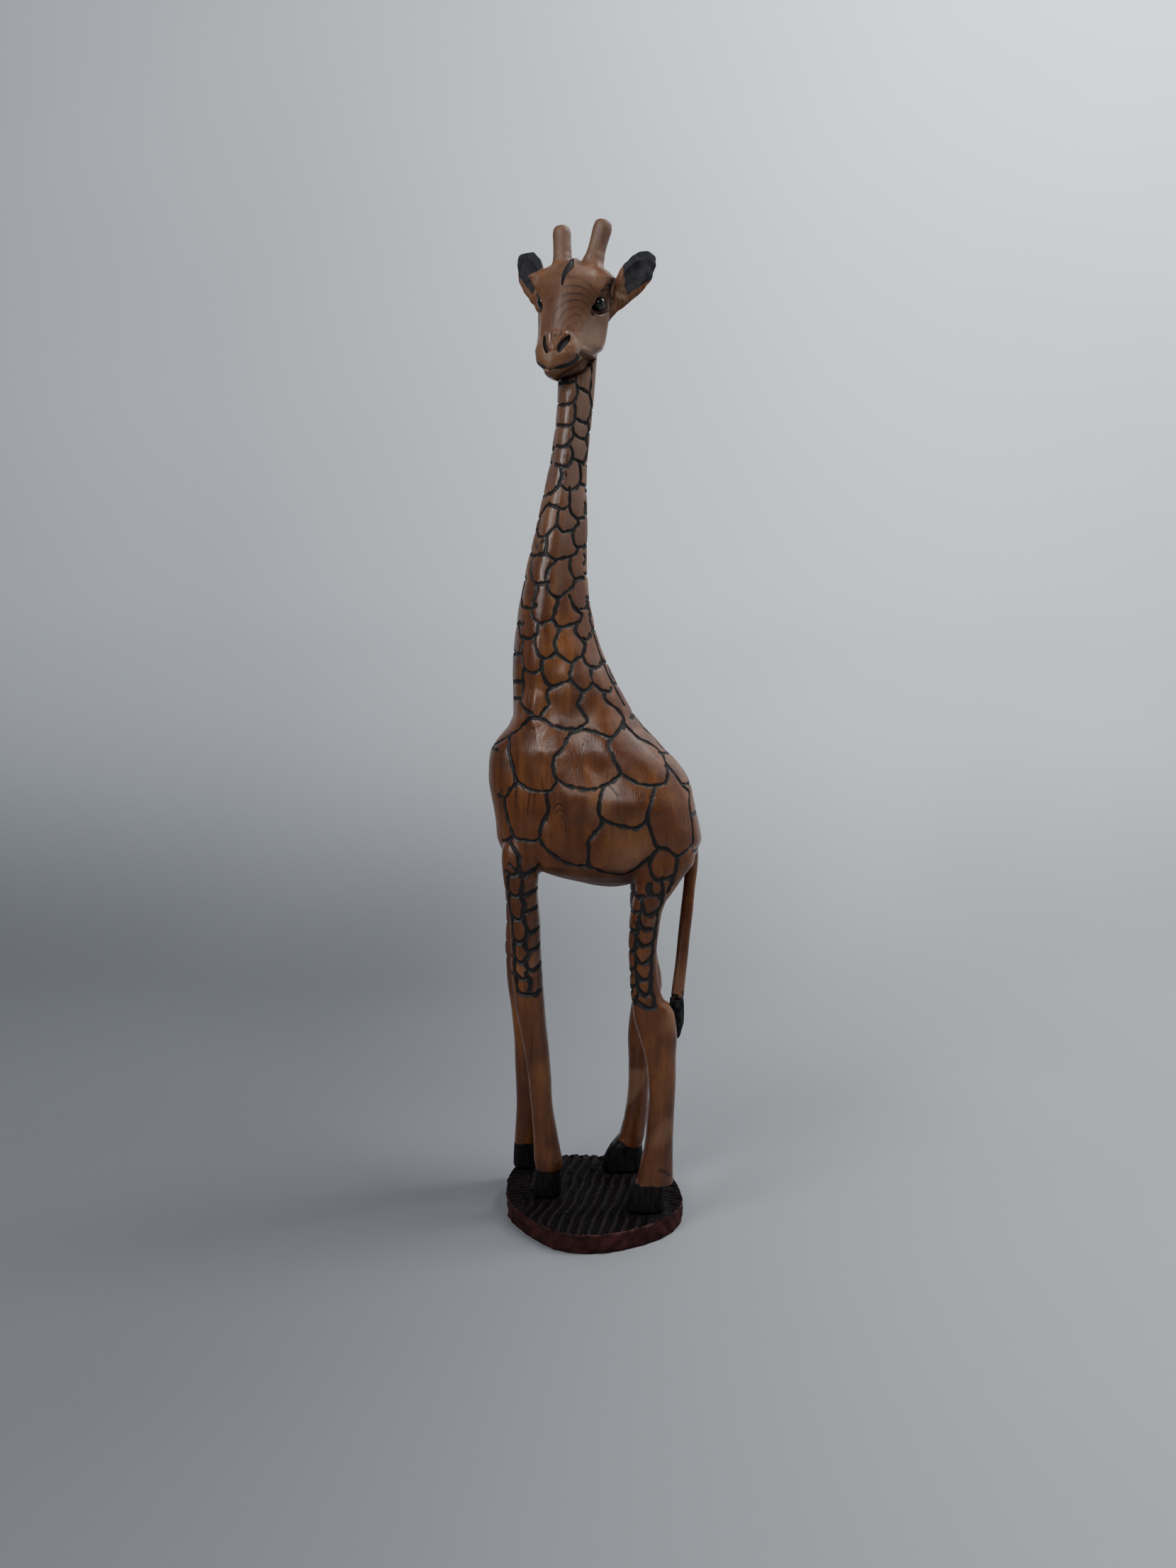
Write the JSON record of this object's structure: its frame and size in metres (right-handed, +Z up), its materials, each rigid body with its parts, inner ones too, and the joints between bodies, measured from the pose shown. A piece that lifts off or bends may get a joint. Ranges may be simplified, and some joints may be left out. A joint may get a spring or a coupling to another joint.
{
  "type": "carved giraffe statue",
  "caption": "Tall carved wooden giraffe standing on an uneven round plinth, head turned out over its left side, with burnt coat lines, black ears, hooves and tail tuft.",
  "frame": {"origin": "a point on the underside of the base, under the middle of the body", "axes": "+Z up; -X the way the chest faces and +X the tail; -Y the statue's left side, over which the head looks out"},
  "size_m": [0.1937, 0.1656, 0.8971],
  "materials": {
    "carved_wood": "reddish-brown hardwood, hand carved, burnt V-groove lines, satin varnish",
    "blackened_wood": "the same wood scorched and painted matte black",
    "stained_base": "gouged wood with a dark purple-brown stain, redder and rougher on the rim",
    "eye_gloss": "carved ball painted near black under gloss varnish"
  },
  "bodies": {
    "root": {"base": "stained_base", "hoof_front_left": "blackened_wood", "hoof_front_right": "blackened_wood", "hoof_hind_left": "blackened_wood", "hoof_hind_right": "blackened_wood", "leg_front_left": "carved_wood", "leg_front_right": "carved_wood", "leg_hind_left": "carved_wood", "leg_hind_right": "carved_wood", "body": "carved_wood", "neck": "carved_wood", "head": "carved_wood", "horn_left": "carved_wood", "horn_right": "carved_wood", "ear_left": "blackened_wood", "ear_right": "blackened_wood", "eye_left": "eye_gloss", "eye_right": "eye_gloss", "tail": "carved_wood", "tail_tuft": "blackened_wood"}
  },
  "joints": []
}
